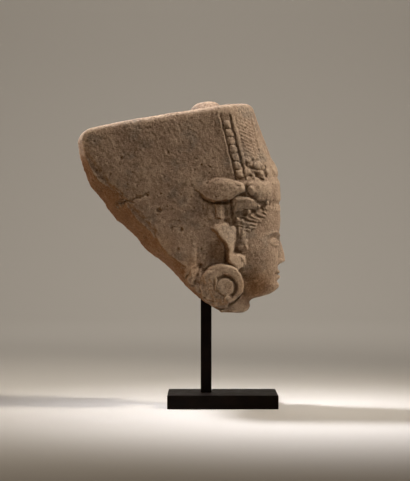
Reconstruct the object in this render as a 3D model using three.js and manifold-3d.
// A carved sandstone head of the sun god, broken from a larger figure, on a display stand.
// The head wears a tall mitre that leans back, with a beaded channel beside a woven front panel, a tied
// diadem with a leaf-shaped bow on each side, and large ring earrings. The back is a slanting break.
// A square steel bar rises from a plate and enters a socket in the underside of the stone.
//
// Millimetres. +Z is up, +X is the way the face looks, and the origin is the centre of the plate's
// underside.
// On the head, a level is a height on the front-to-back axis: the slices through the mitre tilt, so that
// the highest slice lies in the flat, sloping top.

import * as THREE from 'three';
import { mergeVertices } from 'three/addons/utils/BufferGeometryUtils.js';
import Module from 'manifold-3d';

const plate = { length: 120, width: 80, thickness: 15, chamfer: 0.8 };
const post = { side: 12, x: -18, chamfer: 0.6, inStone: 34 };
const socket = { gap: 0.3, mouth: 112 };
const crown = { top: 327, slope: 0.163, rim: 7.5, tiltFrom: 222, tiltTo: 282 };
const face = { hairline: 222, chin: 123 };
const third = (face.hairline - face.chin) / 3;
const brow = face.hairline - third;
const noseBase = brow - third;
const eye = { level: brow - 9, apart: 17, width: 10, height: 5 };
const mouth = { level: noseBase - third / 3, halfWidth: 12 };
const channel = { width: 11, depth: 2.2, low: 246, high: 315 };
const bead = { radius: 4.5, count: 7, high: 305.7, pitch: 8.65, xHigh: 4.3, lean: 0.25 };
const leaf = { x: 0, z: 235.6, length: 51, halfHeight: 13, thickness: 8 };
const roll = { x: 23, z: 221.5, length: 29, radius: 8 };
const swag = { x: 40, z: 234.5, length: 37, halfHeight: 10, thickness: 5.5 };
const ring = { x: -1, z: 133, radius: 19, disc: 10.2, discX: 2.5, discZ: 131.8, out: 44 };
const ringBead = { x: 5.8, z: 118.6, radius: 4.8 };
const knob = { x: -18.5, radius: 21, height: 10 };
const rosette = { x: 39, z: 259, radius: 6.2, petals: 6 };

const wasm = await Module();
wasm.setup();

const { clamp, lerp, smoothstep } = THREE.MathUtils;

// A smooth line through a few stations, each [level, value].
function lineThrough(stations) {
  const levels = stations.map((s) => s[0]);
  const curve = new THREE.CubicInterpolant(levels, stations.map((s) => s[1]), 1);
  return (level) => curve.evaluate(clamp(level, levels[0], levels.at(-1)))[0];
}

// The lines that shape the stone: where its front and back lie at mid-width, where the rounded front
// meets the flat side, the half-widths of the front and of the block behind it, how far the back is
// keeled, and how full the front's plan curve is.
const frontLine = lineThrough([
  [102.5, 26], [108, 30.5], [117, 31], [120.5, 42], [124, 55], [132, 60], [150, 60.5], [180, 61],
  [205, 64], [222, 62.5], [234, 62], [248, 60], [262, 54.5], [292, 43.5], [327, 32],
]);
const shoulderLine = lineThrough([[102.5, 8], [140, 4], [215, 4], [250, 0], [290, -8], [326, -14]]);
const frontWidth = lineThrough([
  [102.5, 18], [112, 20], [122, 21.5], [130, 25], [138, 28.5], [145, 31], [155, 34.5],
  [165, 37.5], [180, 39.8], [200, 41], [215, 41.5], [235, 47], [260, 50], [326, 57],
]);
const fullness = lineThrough([
  [102.5, 2.2], [118, 2.2], [124, 2.3], [135, 2.9], [150, 3], [170, 2.6], [190, 2.3], [326, 2.1],
]);
const blockWidth = lineThrough([
  [102.5, 18], [112, 27], [125, 38], [140, 43], [200, 46.5], [250, 50.5], [326, 57],
]);
const backLine = lineThrough([
  [102.5, 2], [110, -14], [120, -28], [147, -53.5], [160, -67.5], [173, -84.5],
  [187, -96.5], [206, -118], [220, -128.5],
  [235, -137.5], [262, -146], [290, -153], [304, -158.3], [314, -158.5], [327, -154.5],
]);
const keel = lineThrough([
  [102.5, 2], [117, 8], [140, 12], [170, 18], [205, 26], [237, 22], [262, 12], [326, 8],
]);

const slopeAt = (level) => crown.slope * smoothstep(level, crown.tiltFrom, crown.tiltTo);
const bell = (distance, spread) => Math.exp(-((distance / spread) ** 2));

// How far the face's features stand out from its plain rounded front: calm, on plain thirds.
function faceRelief(y, level) {
  const side = Math.abs(y);
  const alongNose = clamp((brow - level) / third, 0, 1.25);
  const noseWidth = lerp(4.2, 6.6, alongNose);
  const noseHeight = 8.2 * smoothstep(alongNose, -0.1, 0.85) * (1 - smoothstep(alongNose, 0.9, 1.08));
  const wings = 3 * bell(side - 7, 3.2) * bell(level - noseBase - 3.5, 3.4);
  const nose = noseHeight * bell(side, noseWidth) + wings;
  const sockets = -3.4 * bell(side - eye.apart, 10) * bell(level - eye.level, 6.5);
  const fromEye = Math.hypot((side - eye.apart) / eye.width, (level - eye.level + 1.5) / eye.height);
  const lids = 3.6 * Math.sqrt(Math.max(0, 1 - fromEye ** 2));
  const browArch = brow + 3 * bell(side - 18, 12) - 2;
  const browSpan = smoothstep(side, 2, 8) * (1 - smoothstep(side, 28, 36));
  const brows = 1.3 * bell(level - browArch, 2.6) * browSpan;
  const cheeks = 2 * bell(side - 22, 10) * bell(level - noseBase - 8, 11);
  const lipShape = Math.max(0, 1 - (side / mouth.halfWidth) ** 2);
  const upperLip = 2.4 * lipShape * bell(level - mouth.level - 3, 2.6);
  const lowerLip = 2.6 * lipShape * bell(level - mouth.level + 3.6, 2.8);
  const chin = 2.6 * bell(side, 10) * bell(level - face.chin - 9, 6);
  return nose + sockets + lids + brows + cheeks + upperLip + lowerLip + chin;
}

// The raised band of the diadem, which fades out behind the ears.
function bandRelief(x, level) {
  return 2.2 * smoothstep(level, 223, 226) * (1 - smoothstep(level, 241, 246)) * smoothstep(x, 2, 20);
}

// A point of the stone's front curve, where turn runs from 0 at mid-width to 1 at the side. A margin
// draws the curve in where the top edge is rounded.
function frontPoint(turn, level, margin) {
  const angle = (turn * Math.PI) / 2;
  const power = 2 / fullness(level);
  const shoulder = shoulderLine(level);
  const y = (frontWidth(level) - margin) * Math.sin(angle) ** power;
  let x = shoulder + (frontLine(level) - margin - shoulder) * Math.max(0, Math.cos(angle)) ** power;
  const onFace = smoothstep(level, face.chin - 3, face.chin + 3) * (1 - smoothstep(level, 219, 224));
  x += onFace * faceRelief(y, level) * (1 - smoothstep(turn, 0.82, 0.98));
  x += bandRelief(x, level) * (1 - turn);
  return new THREE.Vector3(x, y + bandRelief(x, level) * turn, level + slopeAt(level) * x);
}

// One half of a slice, from mid-width in front, round the left side, to mid-width at the back.
function halfSlice(level, margin) {
  const points = [];
  const frontSteps = 12;
  for (let i = 0; i <= frontSteps; i += 1) {
    points.push(frontPoint((i / frontSteps) ** 1.12, level, margin));
  }
  const width = blockWidth(level) - margin;
  const start = shoulderLine(level) - 7;
  const back = backLine(level) + margin * 1.6;
  const ridge = Math.min(back + keel(level), start - 4);
  const sideSteps = 4;
  for (let i = 0; i <= sideSteps; i += 1) {
    const x = lerp(start, ridge, i / sideSteps);
    points.push(new THREE.Vector3(x, width + 1.5 * Math.sin((Math.PI * i) / sideSteps), 0));
  }
  for (const share of [0.9, 0.62, 0.3, 0]) {
    const x = back + (ridge - back) * share ** 1.8;
    points.push(new THREE.Vector3(x, width * share, 0));
  }
  for (const p of points.slice(frontSteps + 1)) p.z = level + slopeAt(level) * p.x;
  return points;
}

// The slow waves of the broken back, which leave mid-width and the block's edges where they are.
function breakWave(x, y, level) {
  const depth = backLine(level) + keel(level) - x;
  const wave = Math.sin(y * 0.13) * Math.sin(level * 0.075 + 1) + 0.7 * Math.sin(y * 0.21 + level * 0.16);
  return 2 * smoothstep(depth, 1, 7) * smoothstep(Math.abs(y), 2, 16) * wave;
}

// A whole slice, anticlockwise from above.
function slice(level, margin) {
  const left = halfSlice(level, margin);
  const right = left.slice(1, -1).reverse().map((p) => new THREE.Vector3(p.x, -p.y, p.z));
  const points = [...left, ...right];
  for (const p of points) {
    p.x += breakWave(p.x, p.y, level);
    p.z -= margin * 0.5 * smoothstep(-p.x, 120, 155);
  }
  return points;
}

// Turns a shape's faces outward, whichever way its rings ran.
function facingOut(geometry) {
  const index = geometry.index.array;
  const position = geometry.attributes.position;
  const [a, b, c] = [new THREE.Vector3(), new THREE.Vector3(), new THREE.Vector3()];
  let volume = 0;
  for (let i = 0; i < index.length; i += 3) {
    a.fromBufferAttribute(position, index[i]);
    b.fromBufferAttribute(position, index[i + 1]);
    c.fromBufferAttribute(position, index[i + 2]);
    volume += a.dot(b.cross(c));
  }
  if (volume < 0) index.reverse();
  return geometry;
}

// A closed skin over a stack of rings with equal counts, capped at both ends.
function loft(rings) {
  const count = rings[0].length;
  const middle = (ring) => ring.reduce((sum, p) => sum.add(p), new THREE.Vector3()).divideScalar(count);
  const points = [...rings.flat(), middle(rings[0]), middle(rings.at(-1))];
  const [bottom, top] = [points.length - 2, points.length - 1];
  const last = (rings.length - 1) * count;
  const faces = [];
  for (let i = 0; i < count; i += 1) {
    const next = (i + 1) % count;
    for (let j = 0; j < last; j += count) {
      faces.push(j + i, j + next, j + count + next, j + i, j + count + next, j + count + i);
    }
    faces.push(next, i, bottom, last + i, last + next, top);
  }
  const geometry = new THREE.BufferGeometry().setFromPoints(points);
  geometry.setIndex(faces);
  return facingOut(geometry);
}

function solidOf(geometry) {
  const bare = geometry.clone();
  bare.deleteAttribute('normal');
  bare.deleteAttribute('uv');
  const merged = facingOut(mergeVertices(bare, 1e-4));
  return new wasm.Manifold(new wasm.Mesh({
    numProp: 3,
    vertProperties: Float32Array.from(merged.attributes.position.array),
    triVerts: Uint32Array.from(merged.index.array),
  }));
}

function geometryOf(solid) {
  const mesh = solid.getMesh();
  const geometry = new THREE.BufferGeometry();
  geometry.setAttribute('position', new THREE.BufferAttribute(mesh.vertProperties, 3));
  geometry.setIndex(new THREE.BufferAttribute(mesh.triVerts, 1));
  return geometry;
}

const joined = (solids) => solids.reduce((whole, solid) => whole.add(solid));

// The place on the right side of the head at a given x and z.
function sidePoint(x, z) {
  let level = z;
  for (let i = 0; i < 3; i += 1) level = z - slopeAt(level) * x;
  const shoulder = shoulderLine(level);
  const share = clamp((x - shoulder) / (frontLine(level) - shoulder), 0, 0.995);
  const power = fullness(level);
  const front = frontWidth(level) * (1 - share ** power) ** (1 / power);
  const behind = smoothstep(shoulder - x, 0, 7);
  return new THREE.Vector3(x, -lerp(front, blockWidth(level), behind), z);
}

// Its outward normal and forward direction there, taken over a reach to either side.
function sideFrame(x, z, reach = 0.5) {
  const point = sidePoint(x, z);
  const forward = sidePoint(x + reach, z).sub(sidePoint(x - reach, z)).normalize();
  const upward = sidePoint(x, z + 1).sub(sidePoint(x, z - 1)).normalize();
  const normal = forward.clone().cross(upward).normalize();
  return { point, normal, forward, up: normal.clone().cross(forward) };
}

// Stands a geometry on the side of the head: its x lies forward, its y up and its z out of the stone.
function onSide(geometry, x, z, { sink = 0, turn = 0, reach = 0.5 } = {}) {
  const { point, normal, forward, up } = sideFrame(x, z, reach);
  const place = new THREE.Matrix4().makeBasis(forward, up, normal);
  place.setPosition(point.addScaledVector(normal, -sink));
  return geometry.clone().applyMatrix4(new THREE.Matrix4().makeRotationZ(turn)).applyMatrix4(place);
}

// A strip laid along a path of [x, z] places on the side, with a profile of [across, out] corners.
function stripOnSide(path, profile) {
  const rings = path.map(([x, z], i) => {
    const { point, normal } = sideFrame(x, z);
    const ahead = sidePoint(...path[Math.min(i + 1, path.length - 1)]);
    const behind = sidePoint(...path[Math.max(i - 1, 0)]);
    const across = ahead.sub(behind).normalize().cross(normal).normalize();
    return profile.map(([a, out]) => (
      point.clone().addScaledVector(across, a).addScaledVector(normal, out)));
  });
  return loft(rings);
}

// A spindle along x, turned from a profile that is pointed at the back by the given power.
function spindle(length, halfHeight, thickness, backPower, frontPower, segments = 10) {
  const steps = 7;
  const profile = [];
  for (let i = 0; i <= steps; i += 1) {
    const t = i / steps;
    const swell = (t ** backPower) * ((1 - t) ** frontPower);
    const most = backPower / (backPower + frontPower);
    const peak = (most ** backPower) * ((1 - most) ** frontPower);
    profile.push(new THREE.Vector2(swell / peak, (t - 0.5) * length));
  }
  const turned = new THREE.LatheGeometry(profile, segments);
  turned.rotateZ(-Math.PI / 2);
  return turned.scale(1, halfHeight, thickness);
}

const beadX = (z) => bead.xHigh + (bead.high - z) * bead.lean;

function beadChannel() {
  const half = channel.width / 2;
  const path = [0, 0.2, 0.4, 0.6, 0.8, 1].map((t) => {
    const z = lerp(channel.low, channel.high, t);
    return [beadX(z), z];
  });
  const section = [[-half, -channel.depth], [half, -channel.depth], [half, 6], [-half, 6]];
  return solidOf(stripOnSide(path, section));
}

function beads() {
  return [...Array(bead.count).keys()].map((i) => {
    const z = bead.high - i * bead.pitch;
    const ball = new THREE.SphereGeometry(bead.radius, 7, 4).scale(1, 0.93, 0.85);
    return solidOf(onSide(ball, beadX(z), z, { sink: 1.4 }));
  });
}

function diademBow() {
  const bow = spindle(leaf.length, leaf.halfHeight, leaf.thickness, 0.62, 0.5);
  const knot = spindle(14, 7, 6, 0.5, 0.5, 7);
  return [
    solidOf(onSide(bow, leaf.x, leaf.z, { sink: 1, reach: 18 })),
    solidOf(onSide(knot, leaf.x + leaf.length / 2 - 2, leaf.z + 1, { sink: 0.5 })),
  ];
}

function diademRoll() {
  const { radius, length } = roll;
  const profile = [[0, -0.36], [0.55, -0.36], [0.7, -0.5], [1, -0.42], [1, 0.3], [0.75, 0.46], [0, 0.5]];
  const points = profile.map(([r, t]) => new THREE.Vector2(r * radius, t * length));
  const body = new THREE.LatheGeometry(points, 10).rotateZ(-Math.PI / 2).scale(1, 1, 0.8);
  return solidOf(onSide(body, roll.x, roll.z, { sink: 0.5, turn: 0.06, reach: 8 }));
}

function diademSwag() {
  const shape = spindle(swag.length, swag.halfHeight, swag.thickness, 0.5, 0.5);
  return solidOf(onSide(shape, swag.x, swag.z, { sink: 1, reach: 10 }));
}

// A rosette at the foot of the front panel, with its petals round a boss.
function rosettePieces() {
  const petals = [...Array(rosette.petals).keys()].map((i) => {
    const angle = (i / rosette.petals) * Math.PI * 2 + 0.3;
    const petal = new THREE.SphereGeometry(4, 6, 3).scale(1, 0.8, 0.9).rotateZ(angle);
    petal.translate(Math.cos(angle) * rosette.radius, Math.sin(angle) * rosette.radius, 0);
    return solidOf(onSide(petal, rosette.x, rosette.z, { sink: -0.6 }));
  });
  const boss = new THREE.SphereGeometry(3.4, 7, 3);
  return [...petals, solidOf(onSide(boss, rosette.x, rosette.z, { sink: -1.4 }))];
}

// The crest at the foot of the mitre's front, a fan of leaves over mid-width, standing on the diadem.
function crest() {
  const foot = 247;
  const lean = Math.atan2(frontLine(foot + 20) - frontLine(foot), 20);
  const upFront = new THREE.Vector3(Math.sin(lean), 0, Math.cos(lean));
  const outFront = new THREE.Vector3(Math.cos(lean), 0, -Math.sin(lean));
  const left = new THREE.Vector3(0, 1, 0);
  return [-2, -1, 0, 1, 2].map((i) => {
    const angle = i * 0.37;
    const length = 26 - Math.abs(i) * 2.5;
    const shape = spindle(length, 5.2, 4, 0.5, 0.62, 8).translate(length / 2, 0, 0);
    const along = upFront.clone().multiplyScalar(Math.cos(angle)).addScaledVector(left, Math.sin(angle));
    const place = new THREE.Matrix4().makeBasis(along, outFront.clone().cross(along), outFront);
    place.setPosition(frontLine(foot) - 0.4 - Math.abs(i) * 1.6, i * 3.4, foot + 3);
    return solidOf(shape.applyMatrix4(place));
  });
}

// The bow's hanging ends, a tab under the leaf.
function ribbonEnds() {
  const path = [[-2, 226], [-1.8, 215], [-1.2, 204.5]];
  return solidOf(stripOnSide(path, [[-8.4, -3], [8.4, -3], [8, 1.8], [0, 2.8], [-8, 1.8]]));
}

// The long ear: a broad helix that narrows to a stem, and a stretched lobe that carries the earring.
function ear() {
  const helix = [[-18, 199], [-9, 203], [4, 203.5], [12.5, 200], [13.5, 190], [10.5, 176], [11, 168]];
  const lobe = [[18, 165.5], [23, 161], [22, 153], [14, 150], [7, 153], [4.5, 161]];
  const back = [[4, 171], [0, 181], [-8, 189.5], [-16, 193.5]];
  const outline = new THREE.Shape([...helix, ...lobe, ...back].map(([x, z]) => new THREE.Vector2(x, z)));
  const flat = new THREE.ExtrudeGeometry(outline, {
    depth: 9, bevelThickness: 2.2, bevelSize: 1.6, bevelOffset: -1.6, bevelSegments: 1,
  });
  flat.rotateX(Math.PI / 2).translate(0, -39.5, 0);
  return solidOf(flat);
}

// The hollow behind the stem of the ear, and the small one in front of it.
function earHollows() {
  const behind = new THREE.SphereGeometry(1, 10, 6).scale(13, 8, 15).translate(-8, -51, 172);
  const front = new THREE.SphereGeometry(1, 8, 5).scale(3.4, 5, 6).translate(14.8, -44, 172);
  return joined([solidOf(behind), solidOf(front)]);
}

function tragus() {
  return solidOf(new THREE.SphereGeometry(1, 6, 4).scale(3.2, 4, 5).translate(18, -37.5, 180));
}

// The earring: a thick ring on its ground, with a disc inside it and a small bead under the disc.
function earring() {
  const upright = (geometry, x, z, out) => solidOf(geometry.rotateX(Math.PI / 2).translate(x, -out, z));
  const section = [[0, -11], [1.12, -11], [1.26, -4], [1.28, 3], [1.08, 7], [0.86, 5.6], [0.74, 1], [0, 1]];
  const points = section.map(([r, out]) => new THREE.Vector2(r * ring.radius, out));
  const hoop = new THREE.LatheGeometry(points, 18);
  const disc = new THREE.CylinderGeometry(ring.disc, ring.disc - 1.6, 12, 12);
  return [
    upright(hoop.rotateX(Math.PI / 2), ring.x, ring.z, ring.out),
    upright(disc.rotateX(Math.PI / 2), ring.discX, ring.discZ, ring.out + 0.5),
    upright(new THREE.SphereGeometry(ringBead.radius, 7, 4), ringBead.x, ringBead.z, ring.out + 1.5),
  ];
}

// The end of a hair lock that swells behind the earring.
function hairEnd() {
  const swelling = new THREE.SphereGeometry(1, 8, 5).scale(9, 5, 16).rotateY(-0.62);
  return solidOf(swelling.translate(-36, -42, 145));
}

function carvedHalf() {
  const added = [
    ...beads(), ...diademBow(), diademRoll(), diademSwag(), ...rosettePieces(), ribbonEnds(),
    ear(), tragus(), ...earring(), hairEnd(),
  ];
  return joined(added);
}

// The same carving on the left side.
function onLeft(solid) {
  const geometry = geometryOf(solid);
  geometry.scale(1, -1, 1);
  return solidOf(geometry);
}

function stoneBody() {
  const neck = [[102.5, 3.5], [105, 0.7], [110, 0], [115, 0], [118, 0], [120.5, 0]];
  const faceRows = [...Array(23).keys()].map((i) => [123 + i * 4.35, 0]);
  const crownRows = [223, 226.5, 234, 242, 247, 256, 268, 282, 298, 312].map((level) => [level, 0]);
  const rimRows = [0, 35, 65, 90].map((degrees) => {
    const angle = THREE.MathUtils.degToRad(degrees);
    return [crown.top - crown.rim * (1 - Math.sin(angle)), crown.rim * (1 - Math.cos(angle))];
  });
  const rows = [...neck, ...faceRows, ...crownRows, ...rimRows];
  return solidOf(loft(rows.map(([level, margin]) => slice(level, margin))));
}

// The worn stump that stands on the mitre's flat top.
function topKnob() {
  const profile = [[0, -6], [1, -6], [1, 0], [0.82, 0.3], [0.64, 0.72], [0.4, 0.96], [0, 1]];
  const shape = new THREE.LatheGeometry(
    profile.map(([r, h]) => new THREE.Vector2(r * knob.radius, h < 0 ? h : h * knob.height)), 18);
  shape.rotateX(Math.PI / 2).rotateY(-Math.atan(crown.slope));
  return solidOf(shape.translate(knob.x, 0, crown.top + crown.slope * knob.x));
}

function headOfStone() {
  const half = carvedHalf();
  const cut = beadChannel();
  const hollows = earHollows();
  const postTop = socket.mouth + post.inStone;
  const side = post.side + 2 * socket.gap;
  const hole = new THREE.BoxGeometry(side, side, 100).translate(post.x, 0, postTop + socket.gap - 50);
  const body = stoneBody().subtract(cut).subtract(onLeft(cut));
  const carved = body.add(half).add(onLeft(half)).add(joined([topKnob(), ...crest()]));
  return geometryOf(carved.subtract(hollows).subtract(onLeft(hollows)).subtract(solidOf(hole)));
}

function chamferedBar(length, width, height, chamfer) {
  const outline = new THREE.Shape();
  const [x, y] = [length / 2 - chamfer, width / 2 - chamfer];
  outline.moveTo(-x, -y).lineTo(x, -y).lineTo(x, y).lineTo(-x, y).closePath();
  return new THREE.ExtrudeGeometry(outline, {
    depth: height - 2 * chamfer, bevelThickness: chamfer, bevelSize: chamfer, bevelSegments: 1,
  }).translate(0, 0, chamfer);
}

function part(name, geometry, material) {
  const mesh = new THREE.Mesh(geometry, new THREE.MeshStandardMaterial(material));
  mesh.name = name;
  return mesh;
}

const sandstone = { color: 0x8f7c69, roughness: 0.95, metalness: 0 };
const bronzedSteel = { color: 0x2a1f18, roughness: 0.45, metalness: 0.8 };

const sculpture = new THREE.Group();
sculpture.add(part('stone_head', headOfStone(), sandstone));

const stand = new THREE.Group();
const slab = chamferedBar(plate.length, plate.width, plate.thickness, plate.chamfer);
const bar = chamferedBar(post.side, post.side, socket.mouth + post.inStone - plate.thickness, post.chamfer);
const standPlate = part('stand_plate', slab, bronzedSteel);
const standPost = part('stand_post', bar, bronzedSteel);
standPost.position.set(post.x, 0, plate.thickness);
stand.add(standPlate, standPost);
sculpture.add(stand);

export default sculpture;
